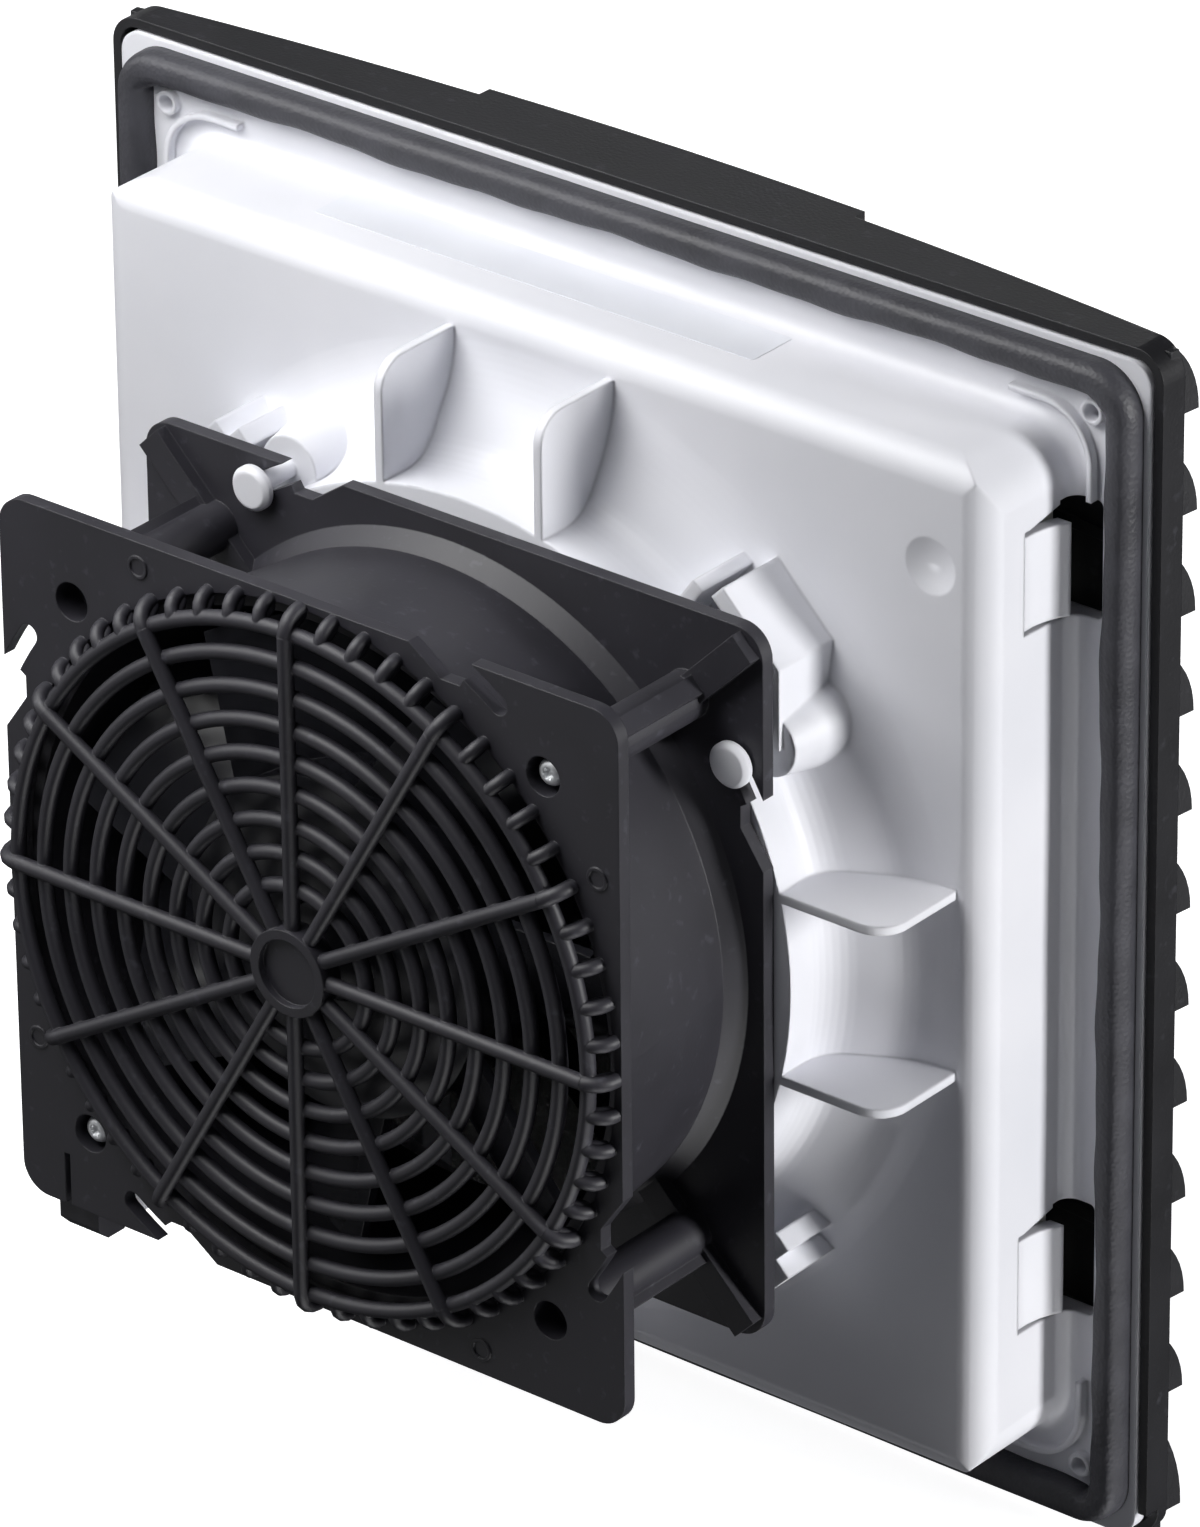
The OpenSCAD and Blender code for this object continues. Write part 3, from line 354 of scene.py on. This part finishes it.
def screw_heads():
    """Two screws in the recesses of the guard plate, each with a washer face and a six-lobed drive."""
    low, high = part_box("guard_screws")
    washer_r, washer_h, shank_r, around = 2.5 * MM, 2 * MM, 1.3 * MM, 48
    centre, seat = high[0] - washer_r, high[1] - washer_h
    drive = ((0.02, 3.3), (0.8, 3.32), (0.92, 3.85), (1.0, 3.95))
    head = ((1.3, 3.93), (1.65, 3.8), (2.0, 3.5), (2.2, 3.1), (2.28, 2.6), (2.3, 0.9),
            (2.5, 0.7), (2.5, 0), (1.3, 0))
    rows = len(drive) + len(head) + 1
    points, faces = [], []
    for side in (1, -1):
        x, z, first = -side * centre, side * centre, len(points)
        for radius, level in drive:
            points += circle(around, radius * MM, seat + level * MM, x, z, six_lobed=True)
        for radius, level in head:
            points += circle(around, radius * MM, seat + level * MM, x, z)
        points += circle(around, shank_r, low[1], x, z)
        faces += [tuple(first + i for i in face) for face in skin(rows, around)]
        faces += [tuple(range(first, first + around)), tuple(range(len(points) - around, len(points)))]
    pair = closed_shape("guard_screw_pair", points, faces)
    dress(pair, screw_zinc, "fan_unit", "guard_screws")


def round_bar(path, radius, around):
    """Points and faces of a closed round bar along a path, with rounded ends."""
    rows = []
    for k, spot in enumerate(path):
        along = (path[min(k + 1, len(path) - 1)] - path[max(k - 1, 0)]).normalized()
        side = along.cross(Vector((0, 1, 0))).normalized()
        rows.append((spot, along, side, side.cross(along), radius))
    first, last = rows[0], rows[-1]
    for share in (0.5, 0.85):
        narrowed = radius * math.sqrt(1 - share ** 2)
        rows.insert(0, (first[0] - share * radius * first[1], *first[1:4], narrowed))
        rows.append((last[0] + share * radius * last[1], *last[1:4], narrowed))
    points = []
    for spot, along, side, rise, size in rows:
        for k in range(around):
            angle = 2 * math.pi * k / around
            points.append(spot + size * (math.cos(angle) * side + math.sin(angle) * rise))
    faces = skin(len(rows), around)
    faces += [tuple(reversed(range(around))), tuple(range(len(points) - around, len(points)))]
    return points, faces


def guard_gap(face):
    """The ring that is cut out of the guard plate outside its outer guard ring, wider at the plate's face."""
    profile, around = ((55.5, -2.6), (57.8, -2.6), (59.0, 0.0), (55.5, 0.0)), 240
    points = []
    for radius, level in profile:
        points += circle(around, radius * MM, face + level * MM)
    return closed_shape("gap_round_the_guard", points, skin(len(profile), around, joined=True))


def guard_teeth(face):
    """The ends of the spokes and the short teeth between them, bent down from the outer ring to the plate."""
    bar_r, slimmer, around, teeth, teeth_to_a_spoke = 1.24 * MM, 0.9, 16, 60, 5
    spoke_end = ((53.5, 3.9), (55.2, 3.9), (56.6, 3.85), (57.7, 3.5), (58.6, 2.7), (59.2, 1.5),
                 (59.4, 0.2), (59.4, -0.8))
    short_tooth = ((56.0, 2.77), (57.2, 2.75), (58.2, 2.4), (58.9, 1.7), (59.3, 0.7), (59.4, -0.8))
    points, faces = [], []
    for tooth in range(teeth):
        angle = 2 * math.pi * tooth / teeth
        out = Vector((math.cos(angle), 0, math.sin(angle)))
        profile, size = (short_tooth, slimmer * bar_r) if tooth % teeth_to_a_spoke else (spoke_end, bar_r)
        path = [radius * MM * out + Vector((0, face + level * MM, 0)) for radius, level in profile]
        bar_points, bar_faces = round_bar(path, size, around)
        faces += [tuple(len(points) + i for i in bar_face) for bar_face in bar_faces]
        points += bar_points
    return closed_shape("teeth_round_the_guard", points, faces)


def open_guard():
    """The finger guard with its plate open between the teeth, and teeth about as thick as the rings."""
    face, weld, crease = 75 * MM, 0.0005 * MM, math.radians(33)
    mesh = nodes["guard_plate"].data.copy()
    if "custom_normal" in mesh.attributes:
        mesh.attributes.remove(mesh.attributes["custom_normal"])
    shape = bmesh.new()
    shape.from_mesh(mesh)
    bmesh.ops.remove_doubles(shape, verts=shape.verts, dist=weld)
    shape.to_mesh(mesh)
    shape.free()
    guard = bpy.data.objects.new("open_finger_guard", mesh)
    scene.collection.objects.link(guard)
    gap, teeth = guard_gap(face), guard_teeth(face)
    for other, how in ((gap, "DIFFERENCE"), (teeth, "UNION")):
        step = guard.modifiers.new(other.name, "BOOLEAN")
        step.operation, step.solver, step.object = how, "MANIFOLD", other
    shaped = guard.evaluated_get(bpy.context.evaluated_depsgraph_get())
    made = bpy.data.meshes.new_from_object(shaped)
    guard.modifiers.clear()
    guard.data = made
    made.name = guard.name
    for other in (gap, teeth):
        bpy.data.objects.remove(other)
    dress(guard, fan_polyamide, "fan_unit", "guard_plate")
    made.set_sharp_from_angle(angle=crease)


def label_film():
    """A bare film on top of the box, thin enough that only its edge and gloss show."""
    top, sunk, proud = 86.25 * MM, 0.05 * MM, 0.06 * MM
    left, right, front, back = -35 * MM, 51 * MM, 1.8 * MM, 11.6 * MM
    corner_r, steps = 0.8 * MM, 5
    outline = []
    for x, y, start in ((right, back, 0), (left, back, 90), (left, front, 180), (right, front, 270)):
        inward = Vector((-1 if x == right else 1, -1 if y == back else 1))
        middle = Vector((x, y)) + corner_r * inward
        for k in range(steps + 1):
            angle = math.radians(start + 90 * k / steps)
            outline.append(middle + corner_r * Vector((math.cos(angle), math.sin(angle))))
    around = len(outline)
    points = [(spot.x, spot.y, level) for level in (top - sunk, top + proud) for spot in outline]
    faces = skin(2, around) + [tuple(range(around)), tuple(range(around, 2 * around))]
    bare = closed_shape("bare_label_film", points, faces)
    dress(bare, film, "housing", smooth=False)


foam_bead()
screw_heads()
open_guard()
label_film()


# Floor and light

def floor():
    """Pale paper under the part, which glows a little so that it stays white, and lends the part no light."""
    half, level = 6.0, solid_box[0][2] - 0.4 * MM
    corners = [(x, y, level) for x, y in ((-half, -half), (half, -half), (half, half), (-half, half))]
    mesh = bpy.data.meshes.new("floor")
    mesh.from_pydata(corners, [], [(0, 1, 2, 3)])
    plane = bpy.data.objects.new("floor", mesh)
    scene.collection.objects.link(plane)
    plane.visible_diffuse = plane.visible_glossy = False
    made, tree, shader, place = material("pale_studio_paper")
    paint(tree, shader, Base_Color=srgb("#f4f4f6"), Roughness=0.9, Emission_Color=srgb("#ffffff"),
          Emission_Strength=0.9)
    mesh.materials.append(made)


def soft_light(name, place, across, upright, power, only_gloss=False):
    """A rectangle of light, aimed at the middle of the part; one only for gloss gives no other light."""
    target = as_frame(0, 0, 0.03)
    lamp = bpy.data.lights.new(name, "AREA")
    lamp.shape, lamp.size, lamp.size_y, lamp.energy = "RECTANGLE", across, upright, power
    made = bpy.data.objects.new(name, lamp)
    made.location = place
    made.rotation_euler = (target - place).to_track_quat("-Z", "Y").to_euler()
    made.visible_camera = False
    made.visible_diffuse = not only_gloss
    scene.collection.objects.link(made)


def studio():
    """A strip of light from the right, just behind the flange, a near soft box overhead, a weak bounce below,
    and a soft box for the grille side; two cards show only in the gloss."""
    sky = bpy.data.worlds.new("studio_sky")
    sky.use_nodes = True
    paint(sky.node_tree, sky.node_tree.nodes["Background"], Color=srgb("#eef0f8"), Strength=0.07)
    scene.world = sky
    soft_light("key_from_right", as_frame(1.66, 0.15, -0.30), 0.25, 0.9, power=34)
    soft_light("soft_box_overhead", as_frame(-0.12, 0.30, 0.18), 0.32, 0.22, power=1.5)
    soft_light("bounce_from_below", as_frame(0.45, -0.78, 0.30), 0.8, 0.6, power=4.5)
    soft_light("soft_box_on_the_grille", as_frame(-0.6, -0.1, -1.4), 1.0, 0.6, power=45)
    soft_light("card_low_left", as_frame(-0.8, -0.65, 1.0), 1.0, 1.0, power=1.1, only_gloss=True)
    soft_light("card_upper_left", as_frame(-1.35, 0.55, 0.75), 1.0, 1.0, power=9.0, only_gloss=True)
    scene.view_settings.view_transform = "Standard"


floor()
studio()
